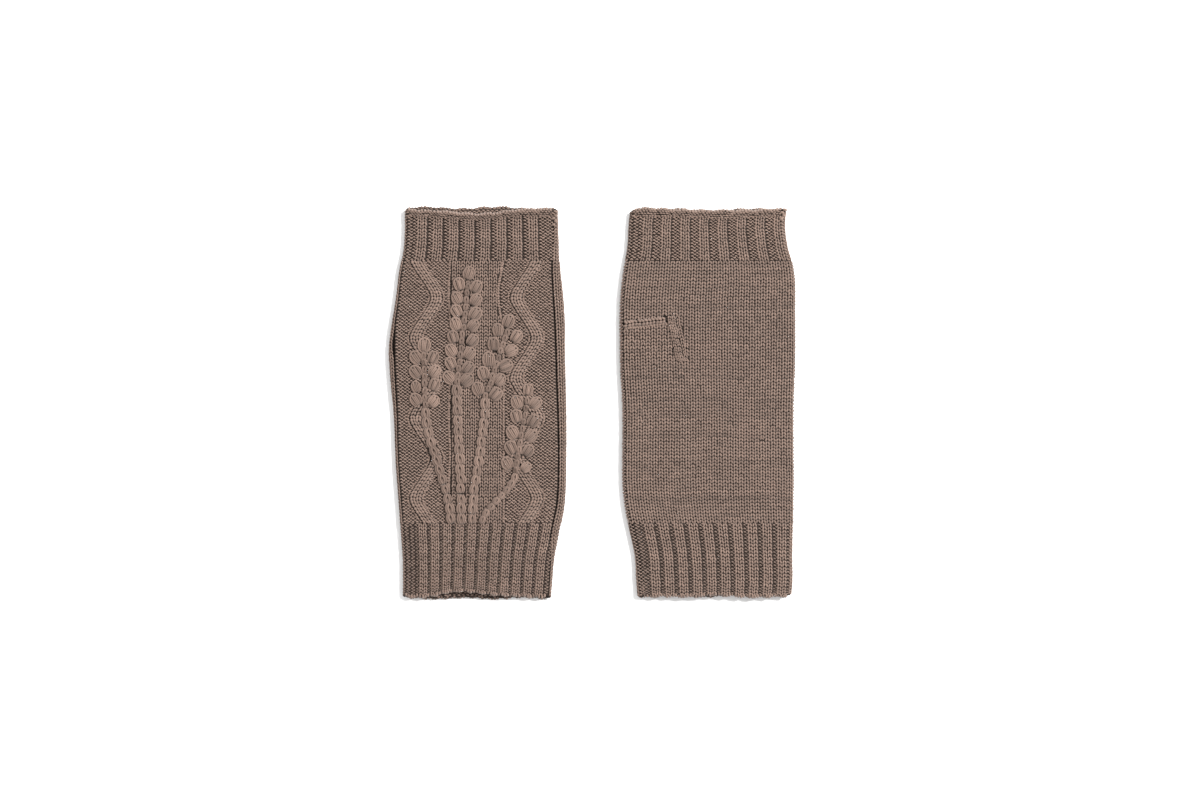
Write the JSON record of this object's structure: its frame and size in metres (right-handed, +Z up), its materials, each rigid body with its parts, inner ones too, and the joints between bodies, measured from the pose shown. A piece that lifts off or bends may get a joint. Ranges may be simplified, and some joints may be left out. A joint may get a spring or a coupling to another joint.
{
  "type": "pair of knitted fingerless gloves laid flat",
  "caption": "Flat pair of ribbed wool hand warmers, one back up with raised sprigs and zigzags, one palm up with its thumb opening.",
  "frame": {"origin": "centre of the pair's outline on the surface that it lies on", "axes": "+Z up from that surface, +Y from the wrist edges to the finger edges, +X from the right-hand glove to the left-hand one"},
  "size_m": [0.2081, 0.2, 0.0064],
  "materials": {
    "taupe_wool": "soft matt wool knit with a faint fuzz"
  },
  "bodies": {
    "root": {"right_glove_back": "taupe_wool", "right_glove_palm": "taupe_wool", "right_glove_thumb_gusset": "taupe_wool", "right_glove_thumb_band": "taupe_wool", "left_glove_back": "taupe_wool", "left_glove_palm": "taupe_wool", "left_glove_thumb_gusset": "taupe_wool", "left_glove_thumb_band": "taupe_wool"}
  },
  "joints": []
}
